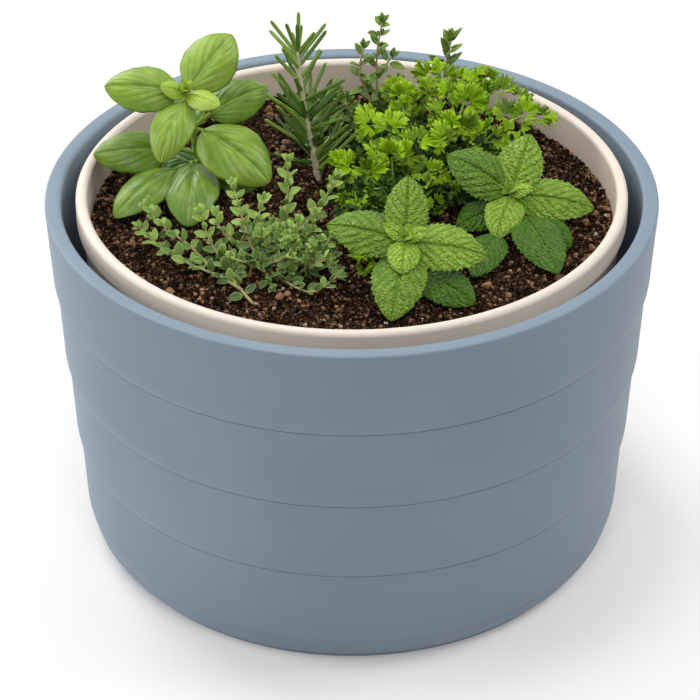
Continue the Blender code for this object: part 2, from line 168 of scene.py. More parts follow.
def spaced(words):      # baseColor to Base Color, as the shader's sockets are named
    apart = "".join(" " + letter if letter.isupper() else letter for letter in words)
    return apart.title().replace("Ior", "IOR")


def setStops(ramp, stops):
    while len(ramp.elements) < len(stops):
        ramp.elements.new(0.5)
    for element, (position, colour) in zip(ramp.elements, stops):
        element.position = position
        element.color = tint(*colour)


def tint(red, green, blue):      # from a colour on screen to the amounts of light that sockets hold
    parts = [part / 255 for part in (red, green, blue)]
    return (*[part / 12.92 if part <= 0.04045 else ((part + 0.055) / 1.055) ** 2.4 for part in parts], 1.0)


# Finished pieces

crispEdge = radians(38)      # on the mouldings, a sharper turn than this shows as an edge


def meshOf(name, shape):
    mesh = bpy.data.meshes.new(name)
    shape.to_mesh(mesh)
    shape.free()
    return mesh


def addObject(name, data):
    thing = bpy.data.objects.new(name, data)
    bpy.context.scene.collection.objects.link(thing)
    return thing


def makePiece(name, shape, material, replaced=(), body=lift, smooth=True, sharpAngle=None):
    mesh = meshOf(name, shape)
    mesh.materials.append(material)
    if smooth:
        mesh.shade_smooth()
    if sharpAngle:
        mesh.set_sharp_from_angle(angle=sharpAngle)
    piece = addObject(name, mesh)
    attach(piece, body)
    if replaced:
        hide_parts(*replaced)
    return piece


def faceOut(shape):
    bmesh.ops.recalc_face_normals(shape, faces=shape.faces)


def gather(shape, part):      # adds a small finished mesh to a large one
    mesh = meshOf("part", part)
    shape.from_mesh(mesh)
    bpy.data.meshes.remove(mesh)


def roundCorner(centre, radius, start, end, steps):      # degrees, from outwards to up
    turns = [radians(start + (end - start) * step / steps) for step in range(steps + 1)]
    return [(centre[0] + radius * cos(turn), centre[1] + radius * sin(turn)) for turn in turns]


def turned(profile, steps):
    shape = bmesh.new()
    row = [shape.verts.new((radius, 0.0, height)) for radius, height in profile]
    edges = [shape.edges.new(pair) for pair in zip(row, row[1:])]
    bmesh.ops.spin(shape, geom=row + edges, cent=(0, 0, 0), axis=(0, 0, 1), angle=tau, steps=steps,
                   use_merge=True)
    bmesh.ops.remove_doubles(shape, verts=shape.verts, dist=0.000001)
    faceOut(shape)
    return shape


# Outer pot

potShape = {
    "rimWidth": 9.2 * mm, "rimRound": 2.2 * mm, "rimEdge": 1.3 * mm, "rimDepth": 2 * mm,
    "tiers": 4, "tierPitch": 50.5 * mm, "tierDrop": 4.1 * mm, "ledge": 0.3 * mm,
    "curl": 2.0 * mm, "curlHeight": 12.0 * mm, "curlPower": 2.2, "roundSteps": 8,
    "grooveDepth": 0.8 * mm, "grooveHeight": 0.7 * mm,
    "baseRoundHeight": 18 * mm, "baseRoundInset": 9 * mm, "baseCorner": 2 * mm,
    "wall": 4.5 * mm, "floor": 5 * mm, "footHeight": 3 * mm, "footWidth": 7 * mm,
    "seatInner": 133.2 * mm, "seatWidth": 4 * mm, "seatHeight": 4 * mm, "steps": 240,
}


def potMaterial():
    look = Look("bluePlastic", roughness=0.46, specularIorLevel=0.28)
    cloud = look.noise(9.0, 3.0)
    grain = look.noise(900.0, 2.0)
    colour = look.fade((121, 137, 151), (126, 142, 156), cloud, 0.3, 0.7)
    return look.finished(colour, grain, 0.00006, roughness=0.43 + 0.08 * grain)


def potProfile():      # from the middle of the floor up the inside, over the rim and down to the foot
    shape = potShape
    rim = potHigh.x
    rimPlane = potHigh.z - shape["rimDepth"]
    outer = rim - shape["ledge"]
    baseRadius = outer - shape["tiers"] * shape["tierDrop"]
    corner = shape["baseCorner"]
    footRadius = baseRadius - shape["baseRoundInset"] - corner
    footInner = footRadius - shape["footWidth"]
    floorTop = shape["footHeight"] + shape["floor"]
    seat, seatTop = shape["seatInner"], floorTop + shape["seatHeight"]
    inner = 0.6 * shape["baseRoundHeight"]
    profile = [(0, floorTop), (seat, floorTop), (seat, seatTop), (seat + shape["seatWidth"], seatTop),
               (seat + shape["seatWidth"], floorTop)]
    profile += roundCorner((baseRadius - shape["wall"] - inner, floorTop + inner), inner, -90, 0, 6)
    rimRound, rimEdge = shape["rimRound"], shape["rimEdge"]
    profile += roundCorner((rim - shape["rimWidth"] + rimRound, potHigh.z - rimRound), rimRound, 180, 90, 6)
    profile += roundCorner((rim - rimEdge, potHigh.z - rimEdge), rimEdge, 90, 0, 6)
    for tier in range(shape["tiers"]):      # each curls in above its lower edge, over the groove of the next
        top = rimPlane - tier * shape["tierPitch"]
        bottom = top - shape["tierPitch"]
        start = outer - tier * shape["tierDrop"]
        end = start - shape["tierDrop"] + shape["ledge"]
        if tier:
            profile += [(start - shape["grooveDepth"], top), (start, top - shape["grooveHeight"])]
        for step in range(shape["roundSteps"] + 1):
            share = step / shape["roundSteps"]
            profile.append((end + shape["curl"] * (1 - share ** shape["curlPower"]),
                            bottom + shape["curlHeight"] * (1 - share)))
    baseTop = shape["baseRoundHeight"]
    profile.append((baseRadius, baseTop - shape["ledge"]))
    for step in range(1, shape["roundSteps"] + 1):
        share = step / shape["roundSteps"]
        profile.append((baseRadius - shape["baseRoundInset"] * share ** 2,
                        baseTop - (baseTop - corner) * share))
    profile += roundCorner((footRadius, corner), corner, -20, -90, 4)
    profile += [(footInner, 0), (footInner, shape["footHeight"]), (0, shape["footHeight"])]
    return profile


def makeOuterPot():
    shape = turned(potProfile(), potShape["steps"])
    makePiece("planterShell", shape, potMaterial(), ["outer_pot"], shell, sharpAngle=crispEdge)
    print("outer pot made")


# Liner pot

linerShape = {
    "lipWidth": 6.7 * mm, "lipRound": 2.9 * mm, "lipDepth": 14 * mm, "lipEdge": 1 * mm,
    "wall": 4.2 * mm, "draft": radians(3), "floor": 3.5 * mm, "steps": 240,
    "footHeight": 4 * mm, "footWidth": 4 * mm, "footInset": 8 * mm,
    "drainRadius": 2.5 * mm, "drainCircle": 90 * mm, "drains": 8, "drainSides": 24,
}


def linerInside(height):      # the inner wall's radius
    return linerHigh.x - linerShape["lipWidth"] - (linerHigh.z - height) * tan(linerShape["draft"])


def linerMaterial():
    look = Look("creamPlastic", roughness=0.42, specularIorLevel=0.3)
    cloud = look.noise(11.0, 3.0)
    grain = look.noise(1000.0, 2.0)
    height = look.node("SeparateXYZ", None, {0: look.place()}, output="Z")
    # painted shade: the walls below the lip's top are painted warmer than the top, as warm shade
    wall = look.fade((229, 214, 198), (233, 218, 203), cloud, 0.3, 0.7)
    colour = look.fade(wall, (224, 212, 199), height, linerHigh.z - 4 * mm, linerHigh.z - 1 * mm)
    return look.finished(colour, grain, 0.00005, roughness=0.4 + 0.06 * grain)


def linerProfile():      # from the middle of the floor up the inside, over the lip and down to the foot
    shape = linerShape
    corner = 1.6 * shape["floor"]
    floorLow = linerLow.z + shape["footHeight"]
    floorTop = floorLow + shape["floor"]
    lip, lipRound, lipEdge = linerHigh.x, shape["lipRound"], shape["lipEdge"]
    mouth = lip - shape["lipWidth"]
    foot = linerInside(floorTop) - shape["footInset"]
    footInner = foot - shape["footWidth"]
    under = linerHigh.z - shape["lipDepth"]
    profile = [(0, floorTop)]
    profile += roundCorner((linerInside(floorTop + corner) - corner, floorTop + corner), corner, -90, 0, 6)
    profile += roundCorner((mouth + lipRound, linerHigh.z - lipRound), lipRound, 180, 90, 8)
    profile += roundCorner((lip - lipRound, linerHigh.z - lipRound), lipRound, 90, 0, 8)
    profile += [(lip, under + lipEdge), (lip - lipEdge, under), (linerInside(under) + shape["wall"], under)]
    outside = linerInside(floorTop) + shape["wall"]
    profile += roundCorner((outside - corner, floorLow + corner), corner, 0, -90, 6)
    profile += [(foot, floorLow), (foot, linerLow.z), (footInner, linerLow.z), (footInner, floorLow),
                (0, floorLow)]
    return profile


def drainDrill():      # a ring of drains and one in the middle
    shape = linerShape
    drill = bmesh.new()
    for hole in range(shape["drains"] + 1):
        turn = tau * (hole + 0.5) / shape["drains"]
        reach = shape["drainCircle"] if hole < shape["drains"] else 0.0
        height = linerLow.z + shape["footHeight"] + 0.5 * shape["floor"]
        spot = Vector((reach * cos(turn), reach * sin(turn), height))
        bmesh.ops.create_cone(drill, cap_ends=True, segments=shape["drainSides"],
                              radius1=shape["drainRadius"], radius2=shape["drainRadius"],
                              depth=4 * shape["floor"], matrix=Matrix.Translation(spot))
    return addObject("drainDrill", meshOf("drainDrill", drill))


def makeLiner():
    shape = turned(linerProfile(), linerShape["steps"])
    pot = makePiece("linerPot", shape, linerMaterial(), ["inner_pot"], sharpAngle=crispEdge)
    cutter = drainDrill()
    holes = pot.modifiers.new("drain holes", "BOOLEAN")
    holes.object = cutter
    bpy.context.view_layer.update()
    drilled = bpy.data.meshes.new_from_object(pot.evaluated_get(bpy.context.evaluated_depsgraph_get()))
    pot.modifiers.clear()
    pot.data = drilled
    bpy.data.objects.remove(cutter, do_unlink=True)
    print("liner pot made")


# Potting soil

soilShape = {
    "drop": 20.5 * mm, "mound": 3 * mm, "ripple": 3.4 * mm, "rippleSize": 15.5 * mm, "calm": 20 * mm,
    "edge": 0.05, "lumps": ((7 * mm, 1.3 * mm), (3 * mm, 1.1 * mm)), "cells": 280,
    # loose crumbs: in each batch the first ones are stones, and the last lie heaped against the wall
    "batches": 200, "perBatch": 60, "grainSize": (0.55, 1.5), "stones": 2, "stoneSize": (1.6, 2.6),
    "heaped": 5, "heapedSize": (0.9, 1.9), "heapedGap": (1.0, 2.2), "seed": 11,
}
# where each stem stands, across and away from the axis in millimetres
stemFeet = [(-87, 35), (-20, 38), (-50, -62), (12, 102), (52, 119), (46, 25), (31, -76), (93, -6)]
soilMiddle = linerHigh.z - soilShape["drop"] + 0.5 * soilShape["mound"]


def soilLevel(x, y):      # the smooth mound
    share = hypot(x, y) / soilHigh.x
    return linerHigh.z - soilShape["drop"] + soilShape["mound"] * (1 - share * share)


def soilTop(x, y):      # the mound with its lumps, flat round the stems as in the solid
    level = soilLevel(x, y)
    beside = min(dist((x, y), (across * mm, away * mm)) for across, away in stemFeet)
    inward = min(1.0, (1 - hypot(x, y) / soilHigh.x) / soilShape["edge"])
    lump = noise.noise(Vector((x, y, level)) / soilShape["rippleSize"])
    height = level + soilShape["ripple"] * lump * min(1.0, beside / soilShape["calm"]) * max(0.0, inward)
    for size, depth in soilShape["lumps"]:
        height += depth * noise.noise(Vector((x / size, y / size, size / mm)))
    return height


def soilMaterial():
    look = Look("pottingMix", roughness=0.9, specularIorLevel=0.04)
    fine = look.noise(700.0, 5.0, 0.7)
    patch = look.noise(160.0, 3.0)
    tone = look.node("Attribute", {"attribute_name": "tone"}, output="Fac")
    dark = look.ramp(fine, (0.42, (8, 5, 3)), (0.49, (40, 26, 17)), (0.57, (104, 74, 52)),
                     (0.66, (214, 172, 134)))
    # near black for crumbs of low tone, and half way for the bed, whose tone is 0.3: dark crumbs, and painted
    # shade in the gaps between the crumbs
    blackCrumbsAndGapShade = look.fade(dark, (12, 8, 6), tone, 0.50, 0.15, 0.85)
    tanned = look.fade(blackCrumbsAndGapShade, (190, 146, 112), tone, 0.64, 0.94, 0.9)
    pink = look.fade(tanned, (186, 150, 126), tone, 0.95, 0.97, 0.8)
    pale = look.fade(pink, (222, 212, 196), tone, 0.99, 0.995)
    colour = look.fade(pale, (18, 12, 8), patch, 0.35, 0.65, 0.40)
    return look.finished(colour, fine, 0.0012, roughness=0.75 + 0.25 * fine)


def addCrumb(batch, dice, x, y, size, stone):
    tone = batch.verts.layers.float["tone"]
    spot = Matrix.Translation((x, y, soilTop(x, y) + dice.uniform(-0.2, 0.6) * size))
    spin = Matrix.Rotation(dice.uniform(0, tau), 4, dice.choice("XYZ"))
    if stone:
        made = bmesh.ops.create_icosphere(batch, subdivisions=2, radius=size, matrix=spot @ spin)
    else:
        made = bmesh.ops.create_cube(batch, size=1.5 * size, matrix=spot @ spin)
    shade = dice.random() * (0.93 if stone else 1.0)
    centre = spot.translation
    for vert in made["verts"]:      # stones are lumpy, grains have each corner pulled in or out
        rough = 1.0 + 0.5 * noise.noise(vert.co * (1.1 / size)) if stone else dice.uniform(0.55, 1.2)
        vert.co = centre + (vert.co - centre) * rough
        vert[tone] = shade


def makeSoilBed(material):
    shape = bmesh.new()
    tone = shape.verts.layers.float.new("tone")
    cells = soilShape["cells"]
    bmesh.ops.create_grid(shape, x_segments=cells, y_segments=cells, size=1.0)
    for vert in shape.verts:      # the square grid is drawn out to a round one
        x, y = vert.co.x, vert.co.y
        away = soilHigh.x * sqrt(1 - x * x / 2)
        across = soilHigh.x * sqrt(1 - y * y / 2)
        x, y = x * across, y * away
        vert.co = (x, y, soilTop(x, y))
        # this tone darkens the bed half way to near black: painted shade in the gaps between the crumbs
        vert[tone] = 0.3
    rim = [edge for edge in shape.edges if edge.is_boundary]
    wall = bmesh.ops.extrude_edge_only(shape, edges=rim)["geom"]
    low = [part for part in wall if isinstance(part, bmesh.types.BMVert)]
    draft = tan(linerShape["draft"])
    for vert in low:
        radius = hypot(vert.co.x, vert.co.y)
        shrunk = (radius - (vert.co.z - soilLow.z) * draft) / radius
        vert.co = (vert.co.x * shrunk, vert.co.y * shrunk, soilLow.z)
    bmesh.ops.contextual_create(shape, geom=[part for part in wall if isinstance(part, bmesh.types.BMEdge)])
    faceOut(shape)
    makePiece("soilBed", shape, material, ["potting_soil"])


def makeCrumbs(material):
    shape = soilShape
    crumbs = bmesh.new()
    crumbs.verts.layers.float.new("tone")
    dice = random.Random(shape["seed"])
    for _ in range(shape["batches"]):
        batch = bmesh.new()
        batch.verts.layers.float.new("tone")
        for number in range(shape["perBatch"]):
            reach = (soilHigh.x - 1.0 * mm) * sqrt(dice.random())
            turn = dice.uniform(0, tau)
            stone = number < shape["stones"]
            size = dice.uniform(*shape["stoneSize" if stone else "grainSize"]) * mm
            if number >= shape["perBatch"] - shape["heaped"]:
                reach = soilHigh.x - dice.uniform(*shape["heapedGap"]) * mm
                size = dice.uniform(*shape["heapedSize"]) * mm
            addCrumb(batch, dice, reach * cos(turn), reach * sin(turn), size, stone)
        faceOut(batch)
        gather(crumbs, batch)
    makePiece("soilCrumbs", crumbs, material, smooth=False)


def makeSoil():
    material = soilMaterial()
    makeSoilBed(material)
    makeCrumbs(material)
    print("soil made")


# Blades: every leaf is a grid shaped along its own midrib

def newBlades():
    shape = bmesh.new()
    shape.loops.layers.uv.new("UVMap")
    shape.verts.layers.float.new("tone")
    shape.verts.layers.float.new("relief")
    return shape


def spotAt(across, away, up):      # millimetres from the pot's axis, and above the soil's middle level
    return Vector((across * mm, away * mm, soilMiddle + up * mm))


def swell(u, low, high):      # 0 at both ends, 1 at the widest place
    top = low / (low + high)
    return (u ** low * (1 - u) ** high) / (top ** low * (1 - top) ** high)


def addBlade(shape, form, base, tip, width, tone, sag=0.0, up=(0, -0.5, 1), phase=0.0):
    rows, columns = form["cells"]
    blade = newBlades()
    toneAndShadeLayer = blade.verts.layers.float["tone"]
    reliefLayer = blade.verts.layers.float["relief"]
    bmesh.ops.create_grid(blade, x_segments=rows, y_segments=columns, size=0.5, calc_uvs=True)
    length = (tip - base).length
    ahead = (tip - base) / length
    up = Vector(up)
    normal = (up - ahead * up.dot(ahead)).normalized()
    side = normal.cross(ahead)
    for vert in blade.verts:
        u = min(max(vert.co.x + 0.5, 0.0), 1.0)
        across, rise, along, relief = form["bend"](form, u, 2 * vert.co.y, phase)
        arch = 4 * sag * u * (1 - u)
        flat = base + ahead * (length * along) + side * (0.5 * width * across)
        vert.co = flat + normal * (arch + 0.5 * width * rise)
        vert[toneAndShadeLayer] = tone
        vert[reliefLayer] = relief
    bmesh.ops.remove_doubles(blade, verts=blade.verts, dist=0.000001)
    gather(shape, blade)


def finishBlades(name, shape, material, thickness, replaced=()):
    leaves = makePiece(name, shape, material, replaced)
    wall = leaves.modifiers.new("thickness", "SOLIDIFY")
    wall.thickness = thickness
    wall.offset = -1.0
    wall.use_even_offset = False


def besideOf(ahead):      # some way that is square to this one
    return ahead.cross((0, 0, 1) if abs(ahead.z) < 0.9 else (0, 1, 0))


def sweep(shape, path, radii, sides=8):      # a round stem along points, each with its radius
    tube = bmesh.new()
    face = bmesh.ops.create_circle(tube, cap_ends=True, segments=sides, radius=1.0)["verts"][0].link_faces[0]
    ring = [vert.co.copy() for vert in face.verts]
    side = None
    for step, (point, radius) in enumerate(zip(path, radii)):
        ahead = (path[min(step + 1, len(path) - 1)] - path[max(step - 1, 0)]).normalized()
        if side is None:
            side = besideOf(ahead)
        side = (side - ahead * side.dot(ahead)).normalized()
        top = side.cross(ahead)
        if step == 1:
            grown = bmesh.ops.extrude_face_region(tube, geom=[face])["geom"]
            face = next(part for part in grown if isinstance(part, bmesh.types.BMFace))
        elif step > 1:
            face = bmesh.ops.extrude_discrete_faces(tube, faces=[face])["faces"][0]
        for vert, corner in zip(face.verts, ring):
            vert.co = point + (side * corner.x + top * corner.y) * radius
    faceOut(tube)
    gather(shape, tube)


def curved(points, steps):      # a smooth route through a few points
    points = [Vector(point) for point in points]
    route = []
    ends = [2 * points[0] - points[1]] + points + [2 * points[-1] - points[-2]]
    for index in range(1, len(ends) - 2):
        before, low, high, after = ends[index - 1:index + 3]
        for step in range(steps):
            t = step / steps
            route.append(0.5 * (2 * low + (high - before) * t
                                + (2 * before - 5 * low + 4 * high - after) * t * t
                                + (3 * low - before - 3 * high + after) * t ** 3))
    return route + [points[-1]]


def addStem(shape, spots, thick, thin, sides=8, steps=5):      # radii at its foot and tip in millimetres
    route = curved([spotAt(*spot) for spot in spots], steps)
    last = len(route) - 1
    sweep(shape, route, [(thick + (thin - thick) * step / last) * mm for step in range(last + 1)], sides)


def pointOn(spots, height):      # where a stem passes this height
    for low, high in zip(spots, spots[1:]):
        if low[2] <= height <= high[2]:
            share = (height - low[2]) / (high[2] - low[2])
            return Vector([a + (b - a) * share for a, b in zip(low, high)])
    return Vector(spots[-1])


class LeafLook(Look):
    # a leaf's material, with the leaf's own places, 0 to 1: along it, across it, aside from the midrib
    def __init__(self, name, roughness, shine=0.30):
        super().__init__(name, roughness=roughness, specularIorLevel=shine)
        self.along = self.node("SeparateXYZ", None, {0: self.node("UVMap", {"uv_map": "UVMap"})})
        self.across = Wire(self, self.along.socket.node.outputs[1])
        # each leaf's own tone, with painted shade where low leaves are given low values
        self.tone = self.node("Attribute", {"attribute_name": "tone"}, output="Fac")
        self.relief = self.node("Attribute", {"attribute_name": "relief"}, output="Fac")
        self.aside = abs(self.across * 2.0 - 1.0)


def stemMaterial(name, low, high, scale=300.0):
    look = Look(name, roughness=0.55, specularIorLevel=0.4)
    streak = look.noise(scale, 4.0, 0.6)
    return look.finished(look.fade(low, high, streak, 0.3, 0.7), streak, 0.0003)


def makeBroadPlant(name, plant, form, leafMaterial, stalkMaterial):
    leaves, stems = newBlades(), bmesh.new()
    thick, stalk = plant["thick"], plant["stalk"]
    addStem(stems, plant["stem"], thick, 0.6 * thick)
    for count, (height, tip, width, sag, bare, tone, face) in enumerate(plant["leaves"]):
        root = pointOn(plant["stem"], height)
        foot = root.lerp(Vector(tip), bare) + Vector((0, 0, 4 * sag * bare * (1 - bare)))
        slim = min(1.0, width / 20)      # a small leaf has a thin stalk
        addStem(stems, [root, (root + foot) / 2 + Vector((0, 0, 0.4)), foot + (foot - root).normalized()],
                stalk * slim, 0.7 * stalk * slim, sides=6, steps=3)
        addBlade(leaves, form, spotAt(*foot), spotAt(*tip), width * mm, tone, sag * mm, (0, -face, 1),
                 1.7 * count)
    finishBlades(name + "Leaves", leaves, leafMaterial, 0.4 * mm, [plant["node"]])
    makePiece(name + "Stem", stems, stalkMaterial)
    print(name + " made")


# Basil

basilForm = {"cells": (48, 24), "outline": (0.56, 0.70), "foot": 0.02, "veins": 4.2, "lean": 0.85,
             "crown": 0.36, "puff": 0.070, "ruffle": 0.07, "rib": 0.12, "ribWidth": 0.09}


def bendBasil(form, u, v, phase):
    t = abs(v)
    half = swell(u, *form["outline"]) * (1 + 0.012 * sin(u * 31 + phase)) + form["foot"] * (1 - u)
    line = form["veins"] * (u - form["lean"] * t ** 1.1) + 0.15 * sin(5 * u + phase)
    wave = abs(sin(pi * line))
    puff = (0.6 * wave + 0.4 * wave ** 2) * min(1.0, t / 0.2) * (1 - t ** 2) * (1.15 - 0.6 * u)
    rise = form["puff"] * puff - form["crown"] * t * t - form["rib"] * exp(-(t / form["ribWidth"]) ** 2)
    return v * half, (rise + form["ruffle"] * sin(7 * u + phase) * t ** 3) * half, u, puff


basilForm["bend"] = bendBasil


def basilMaterial():
    look = LeafLook("basilLeaf", 0.3)
    line = (look.along - basilForm["lean"] * look.aside ** 1.1) * basilForm["veins"]
    near = abs(line.math("FRACT", line) - 0.5)
    groove = look.smooth(near, 0.44, 0.5) * look.smooth(look.aside, 0.95, 0.3)
    cloud = look.noise(110.0, 3.0)
    leaf = look.fade((48, 94, 14), (172, 202, 72), look.tone + 0.5 * cloud, 0.25, 1.35)
    # painted shade: darker where the blade's relief is low, in the valleys along the veins and at the edge
    valleyShaded = look.fade(leaf, (62, 106, 22), look.relief, 0.45, 0.0, 0.14)
    # painted shade in the vein grooves
    grooveShaded = look.mix(groove * 0.10, valleyShaded, (66, 110, 24))
    colour = look.fade(grooveShaded, (176, 206, 100), look.aside, 0.045, 0.012, 0.5)
    fine = look.noise(1300.0, 2.0)
    return look.finished(colour, 0.25 * fine - 0.5 * groove, 0.0004, roughness=0.24 + 0.12 * cloud)


basilPlant = {
    "node": "basil", "slot": "basil_leaf", "thick": 2.6, "stalk": 1.3,      # radii in millimetres
    "stem": [(-87, 35, -6), (-87, 35, 3), (-90, 34, 19), (-92, 33, 37), (-95, 32, 61)],
    "leaves": [  # height on the stem, tip, width, sag, bare share, tone (low on the low leaves, as painted shade), how far it faces the front
        (59, (-142, 36, 63), 28, 5, 0.10, 0.55, 0.9), (59, (-69, 62, 83), 31, 5, 0.08, 0.6, 1.2),
        (57, (-109, 0, 33), 25, 7, 0.08, 0.6, 0.4), (60, (-109, 26, 68), 12, 2, 0.03, 0.75, 0.7),
        (60, (-75, 14, 62), 14, 2, 0.03, 0.8, 0.7), (37, (-49, 60, 50), 26, 5, 0.22, 0.42, 0.9),
        (37, (-47, 5, 17), 36, 8, 0.13, 0.55, 0.6), (20, (-149, 20, 27), 27, 4, 0.27, 0.4, 0.7),
        (14, (-135, -17, 7), 26, 7, 0.28, 0.4, 0.3), (16, (-93, -24, 5), 32, 8, 0.14, 0.4, 0.3),
        (9, (-110, 52, 9), 20, 3, 0.25, 0.1, 0.4), (11, (-56, 20, 4), 20, 3, 0.30, 0.3, 0.4),
        (61, (-98, 27, 69), 5, 1, 0.05, 1.0, 0.8), (61, (-91, 29, 70), 5, 1, 0.05, 1.0, 0.8),
        (61, (-95, 25, 66), 4, 1, 0.05, 1.0, 0.6), (61, (-97, 31, 71), 4, 1, 0.05, 1.0, 0.6),
        (16, (-104, 8, 11), 13, 3, 0.25, 0.35, 0.6), (37, (-84, 46, 44), 9, 1, 0.2, 0.6, 0.6)],
}


def makeBasil():
    leaf = basilMaterial()
    stalk = stemMaterial("basilStem", (118, 158, 44), (158, 192, 78))
    makeBroadPlant("basil", basilPlant, basilForm, leaf, stalk)


# Mint

mintForm = {"cells": (70, 38), "outline": (0.50, 0.74), "foot": 0.02, "teeth": 14, "bite": 0.11, "veins": 6.5,
            "lean": 0.42, "quilt": 0.048, "crown": 0.20, "ruffle": 0.06, "rib": 0.08, "ribWidth": 0.08}


def bendMint(form, u, v, phase):
    t = abs(v)
    tooth = (u * form["teeth"]) % 1.0
    toothed = 0.96 + form["bite"] * tooth * min(1.0, 5 * (1 - u))
    half = swell(u, *form["outline"]) * toothed + form["foot"] * (1 - u)
    line = form["veins"] * (u - form["lean"] * t ** 1.2) + 0.12 * sin(4 * u + phase)
    cell = abs(sin(pi * line)) ** 0.6 * min(1.0, t / 0.10)
    rise = form["quilt"] * cell * (1 - 0.5 * t) - form["rib"] * exp(-(t / form["ribWidth"]) ** 2)
    rise += form["ruffle"] * sin(6 * u + phase) * t ** 2 - form["crown"] * t * t
    return v * half, rise * half, u, cell


mintForm["bend"] = bendMint


def mintMaterial():
    look = LeafLook("mintLeaf", 0.4, 0.25)
    cell = look.node("TexVoronoi", {"feature": "DISTANCE_TO_EDGE"}, {"Vector": look.place(), "Scale": 420.0})
    quilt = look.smooth(cell, 0.0, 0.36)
    # 1 on the quilts, 0 in their creases and along the side veins; where it is low the leaf is painted
    # darker, as painted shade in the creases
    creaseShadeMask = look.smooth(look.relief, 0.35, 0.85) * look.smooth(cell, 0.0, 0.13)
    cloud = look.noise(160.0, 3.0)
    leaf = look.fade((62, 100, 4), (182, 221, 82), look.tone + 0.4 * cloud, 0.2, 1.3)
    creaseShaded = look.fade(leaf, (44, 86, 6), creaseShadeMask, 0.9, 0.0, 0.36)
    colour = look.fade(creaseShaded, (140, 176, 70), look.aside, 0.045, 0.015, 0.45)
    return look.finished(colour, quilt + 0.8 * look.relief, 0.0008, roughness=0.30 + 0.14 * cloud)


# leaves as for basil: the small tones of the low leaves are painted shade
mintFront = {
    "node": "mint_front", "slot": "mint_leaf", "thick": 1.7, "stalk": 1.0,
    "stem": [(31, -76, -6), (31, -76, 3), (30, -78, 15), (29, -80, 31)],
    "leaves": [
        (29, (31, -56, 57), 24, 2, 0.04, 0.50, 0.9), (28, (-14, -72, 35), 28, 4, 0.04, 0.40, 0.6),
        (27, (74, -80, 20), 28, 5, 0.04, 0.60, 0.7), (21, (21, -123, 5), 30, 6, 0.06, 0.40, 0.4),
        (30, (27, -101, 21), 18, 2, 0.04, 0.70, 0.5), (31, (17, -76, 38), 9, 1, 0.02, 0.85, 0.6),
        (31, (42, -82, 38), 9, 1, 0.02, 0.9, 0.6), (9, (67, -104, 4), 25, 3, 0.24, 0.1, 0.4),
        (31, (27, -79, 39), 5, 1, 0.04, 1.0, 0.9), (31, (33, -86, 35), 5, 1, 0.04, 1.0, 0.5),
        (31, (31, -75, 38), 5, 1, 0.04, 1.0, 0.5)],
}
mintRight = {
    "node": "mint_right", "slot": "mint_leaf", "thick": 1.7, "stalk": 1.0,
    "stem": [(93, -6, -6), (93, -6, 3), (92, -8, 10), (90, -11, 20)],
    "leaves": [
        (19, (102, 16, 43), 27, 2, 0.04, 0.55, 0.9), (18, (54, 2, 37), 29, 5, 0.06, 0.30, 0.6),
        (17, (138, -14, 11), 26, 5, 0.06, 0.50, 0.7), (18, (81, -40, 7), 22, 3, 0.05, 0.60, 0.4),
        (11, (114, -73, 4), 27, 4, 0.26, 0.12, 0.4), (9, (123, -45, 4), 20, 2, 0.32, 0.05, 0.5),
        (8, (59, -26, 6), 21, 3, 0.25, 0.08, 0.5), (7, (67, -76, 4), 21, 2, 0.42, 0.1, 0.4),
        (20, (79, -4, 27), 9, 1, 0.02, 0.85, 0.6), (20, (103, -15, 25), 9, 1, 0.02, 0.9, 0.6),
        (20, (88, -9, 29), 5, 1, 0.04, 1.0, 0.9), (20, (93, -17, 25), 5, 1, 0.04, 1.0, 0.5)],
}


def makeMint():
    leaf = mintMaterial()
    stalk = stemMaterial("mintStem", (90, 128, 50), (132, 160, 76))
    makeBroadPlant("mintFront", mintFront, mintForm, leaf, stalk)
    makeBroadPlant("mintRight", mintRight, mintForm, leaf, stalk)


# Rosemary

needleForm = {"cells": (22, 6)}


def bendNeedle(form, u, v, phase):
    half = min(1.0, 0.6 + u * 6) * min(1.0, ((1 - u) * 10) ** 0.5) * (1 - 0.12 * u)
    t = abs(v)
    return v * half, (-0.8 * t * t - 0.4 * exp(-(t / 0.3) ** 2)) * half, u, 0.5


needleForm["bend"] = bendNeedle


def needleMaterial():
    look = LeafLook("rosemaryNeedle", 0.42)
    body = look.fade((44, 80, 18), (160, 192, 78), look.tone, 0.0, 1.1)
    groove = look.fade(body, (140, 172, 100), look.aside, 0.30, 0.08, 0.45)
    tipped = look.fade(groove, (150, 170, 90), look.along, 0.90, 1.0, 0.5)
    grain = look.noise(700.0, 2.0)
    colour = look.mix(grain * 0.3, tipped, (78, 118, 58))
    return look.finished(colour, grain, 0.0001)


rosemaryShape = {
    "trunk": [(-20, 38, -6), (-20, 38, 3), (-24, 41, 25), (-28, 44, 50), (-31, 46, 80)],
    "from": 6.0, "to": 82, "spacing": 1.3, "spacingTimes": (0.62, 2.1),      # below and above the middle
    "rise": 38, "length": 35, "width": 2.4, "facing": (0.001, -1.2, 0.7), "seed": 5,
    "ring": 5, "ringHeight": 76, "ringRise": 50, "ringLength": 26,      # the open needles round the top
}


def wayTo(around, rise):      # from a turn about the stem and a climb, in radians
    return Vector((cos(around) * cos(rise), sin(around) * cos(rise), sin(rise)))


